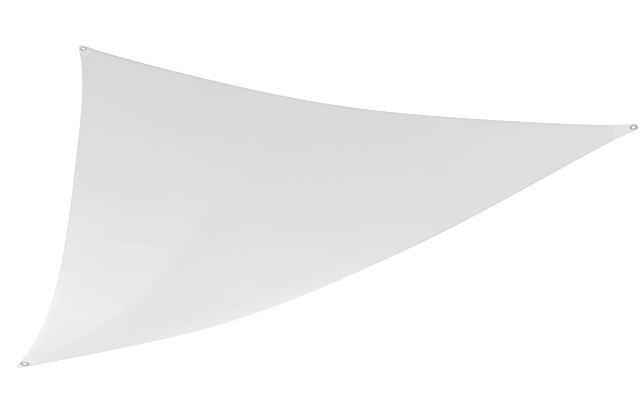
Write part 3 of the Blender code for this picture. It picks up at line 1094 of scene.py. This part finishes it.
def cloth_nodes(name):
    """Woven cloth: cloudy colour, uneven threads and the relief of the weave."""
    nodes = Nodes(name)
    clouds = nodes.vary(nodes.noise(nodes.place(), scale=1.6, detail=5.0, rough=0.55), 0.988, 1.012)
    slubs = nodes.noise(nodes.place(-seam_turn(), SLUB_SCALE), scale=1.0, detail=2.0)
    weave = weave_height(nodes, THREAD_PITCH)
    shade = nodes.math("MULTIPLY", clouds, nodes.vary(slubs, 0.985, 1.015))
    shade = nodes.math("MULTIPLY", shade, nodes.spread(weave, 0.0, 1.0, 0.975, 1.01))
    nodes.set(Sheen_Weight=0.12, Sheen_Roughness=0.5, Specular_IOR_Level=0.3)
    nodes.set(Roughness=nodes.vary(slubs, 0.74, 0.86))
    relief = nodes.bump(weave, distance=0.00012, strength=0.5)
    relief = nodes.bump(slubs, distance=0.0002, strength=0.3, below=relief)
    return nodes, shade, relief


def sail_material():
    """The sail's cloth, with painted shade along its hems and stitch grooves, painted light in two
    borders and on the seam, and small puckers beside the stitches.
    """
    nodes, shade, relief = cloth_nodes("sail_cloth")
    edge = nodes.attribute("edge_distance")
    seam = nodes.attribute("seam_distance")
    from_stitches = nodes.math("ABSOLUTE", nodes.math("SUBTRACT", edge, STITCH_LINE))
    # Painted shade in the stitch grooves.
    groove = nodes.soft_step(from_stitches, 0.001, 0.005, GROOVE_SHADE, 1.0)
    # A painted highlight on the seam line.
    line = nodes.soft_step(seam, 0.003, 0.008, SEAM_HIGHLIGHT, 1.0)
    # Multiplies in the bands' painted shade and light, the grooves' painted shade and the seam's painted
    # highlight.
    for factor in (nodes.attribute("fold_tone"), groove, line):
        shade = nodes.math("MULTIPLY", shade, factor)
    near_hem = nodes.soft_step(from_stitches, 0.0, HEM_PUCKERS, 1.0, 0.0)
    near_seam = nodes.soft_step(seam, 0.0, SEAM_PUCKERS, 1.0, 0.0)
    wrinkles = nodes.noise(nodes.place(), scale=70.0)
    puckers = nodes.math("MULTIPLY", wrinkles, nodes.math("MAXIMUM", near_hem, near_seam))
    relief = nodes.bump(puckers, distance=0.0012, strength=0.5, below=relief)
    drift = nodes.noise(nodes.place(), scale=5.0, detail=4.0)
    relief = nodes.bump(drift, distance=0.004, strength=0.25, below=relief)
    nodes.set(Base_Color=nodes.tint(SAIL_COLOR, shade), Normal=relief)
    return nodes.material


def patch_material():
    nodes, shade, relief = cloth_nodes("patch_cloth")
    # The bands' painted shade and light, and the patch's own darker tone.
    shade = nodes.math("MULTIPLY", shade, nodes.attribute("fold_tone"))
    wrinkles = nodes.noise(nodes.place(), scale=90.0)
    relief = nodes.bump(wrinkles, distance=0.0010, strength=0.4, below=relief)
    nodes.set(Base_Color=nodes.tint(PATCH_COLOR, shade), Normal=relief)
    return nodes.material


def thread_material():
    nodes = Nodes("sewing_thread")
    fuzz = nodes.noise(nodes.place(), scale=900.0, detail=2.0)
    nodes.set(Base_Color=nodes.tint(THREAD_COLOR, nodes.vary(fuzz, 0.94, 1.04)))
    nodes.set(Roughness=0.55, Sheen_Weight=0.2, Normal=nodes.bump(fuzz, distance=0.0001, strength=0.5))
    return nodes.material


def metal_material():
    """Pressed steel with a satin flange, and a painted reflection that brightens the barrel inside its hole.
    """
    nodes = Nodes("eyelet_metal")
    worn = nodes.noise(nodes.place(), scale=160.0, detail=4.0, rough=0.6)
    scratches = nodes.noise(nodes.place(SCRATCH_TURN, SCRATCH_SCALE), scale=1.0, detail=2.0)
    across = nodes.add("VectorMath", operation="MULTIPLY")
    nodes.connect(nodes.add("TexCoord").outputs["Object"], across.inputs[0])
    across.inputs[1].default_value = (1.0, 1.0, 0.0)
    radius = nodes.add("VectorMath", operation="LENGTH")
    nodes.connect(across.outputs[0], radius.inputs[0])
    # A painted reflection on the barrel inside the hole.
    painted_reflection = nodes.soft_step(radius.outputs["Value"], *BARREL_ENDS, BARREL_REFLECTION, 1.0)
    shade = nodes.math("MULTIPLY", painted_reflection, nodes.vary(worn, 0.90, 1.08))
    nodes.set(Base_Color=nodes.tint(METAL_COLOR, shade), Metallic=1.0, Roughness=nodes.vary(worn, 0.22, 0.38))
    nodes.set(Normal=nodes.bump(scratches, distance=0.00004, strength=0.4))
    return nodes.material


def floor_material():
    """Plain white that glows a little, so that the ground stays pure white behind the sail."""
    nodes = Nodes("studio_floor")
    shade = nodes.vary(nodes.noise(nodes.place(), scale=0.7), 0.995, 1.0)
    nodes.set(Base_Color=nodes.tint(FLOOR_COLOR, shade), Roughness=0.9)
    nodes.set(Emission_Color=WHITE, Emission_Strength=FLOOR_GLOW)
    return nodes.material


# The studio. Lamps and camera are placed from the held eyelet b, in metres.
FLOOR_BELOW = 2.6
FLOOR_SIZE = 400.0
FLOOR_GLOW = 0.35
WORLD_LIGHT = 0.84
Lamp = namedtuple("Lamp", "name place aim size watts")
LAMPS = (
    Lamp("fill_left", (-4.9, -2.0, 0.4), (-2.6, -1.0, -0.3), 1.0, 50.0),
    Lamp("fill_front", (-1.2, -3.2, 0.9), (-1.6, -0.8, -0.4), 1.4, 17.0),
    Lamp("fill_tip", (0.5, -0.2, 0.55), (-0.1, 0.0, 0.0), 0.5, 0.85),
)
CAMERA_PLACE = (-1.993, -8.503, 4.111)
CAMERA_DOWN = 28.0
CAMERA_TURN = -2.26
CAMERA_LENS = 101.2
CAMERA_SENSOR = 36.0
CAMERA_REACH = 500.0


def make_studio():
    """A white floor far below the sail, an even white world and a few weak fill lamps."""
    low = cad_box[0]
    bpy.ops.mesh.primitive_plane_add(size=FLOOR_SIZE, location=(low.x / 2, 0.0, low.z - FLOOR_BELOW))
    floor = bpy.context.object
    floor.name = "studio_floor"
    floor.data.materials.append(floor_material())
    world = bpy.data.worlds.new("studio")
    world.use_nodes = True
    background = world.node_tree.nodes["Background"]
    background.inputs["Color"].default_value = WHITE
    background.inputs["Strength"].default_value = WORLD_LIGHT
    bpy.context.scene.world = world
    for lamp in LAMPS:
        data = bpy.data.lights.new(lamp.name, "AREA")
        data.energy = lamp.watts
        data.size = lamp.size
        made = add_object(lamp.name, data)
        made.location = lamp.place
        made.visible_camera = False
        made.visible_glossy = False
        made.rotation_euler = (Vector(lamp.aim) - Vector(lamp.place)).to_track_quat("-Z", "Y").to_euler()


def make_camera():
    data = bpy.data.cameras.new("camera")
    data.sensor_width = CAMERA_SENSOR
    data.lens = CAMERA_LENS
    data.clip_end = CAMERA_REACH
    made = add_object("camera", data)
    made.location = Vector(held_place()) + Vector(CAMERA_PLACE)
    made.rotation_euler = (math.radians(90 - CAMERA_DOWN), 0.0, math.radians(CAMERA_TURN))
    bpy.context.scene.camera = made
    bpy.context.scene.view_settings.view_transform = "Standard"


def use(piece, slot, *nodes):
    """The piece moves with the sail and stands for these CAD nodes, which are hidden. The slot is not used.
    """
    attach(piece, "root")
    if nodes:
        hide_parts(*nodes)


def make_sail():
    cloth = sail_material()
    patch_cloth = patch_material()
    thread = thread_material()
    metal = metal_material()
    main = make_main_panel(cloth)
    corner = make_corner_panel(cloth)
    use(main, "sail_cloth", "panel_main")
    use(corner, "sail_cloth", "panel_corner")
    sewn = make_stitches(thread)
    for row in sewn.values():
        use(row, "sail_cloth")
    for index, facts in enumerate(CORNERS):
        patch = make_patch(index, patch_cloth)
        use(patch, "patch_cloth", "patch_" + facts.name)
        use(make_eyelet(index, metal), "eyelet_metal", "eyelet_" + facts.name)
        use(make_washer(index, metal), "eyelet_metal", "washer_" + facts.name)


make_sail()
make_studio()
make_camera()
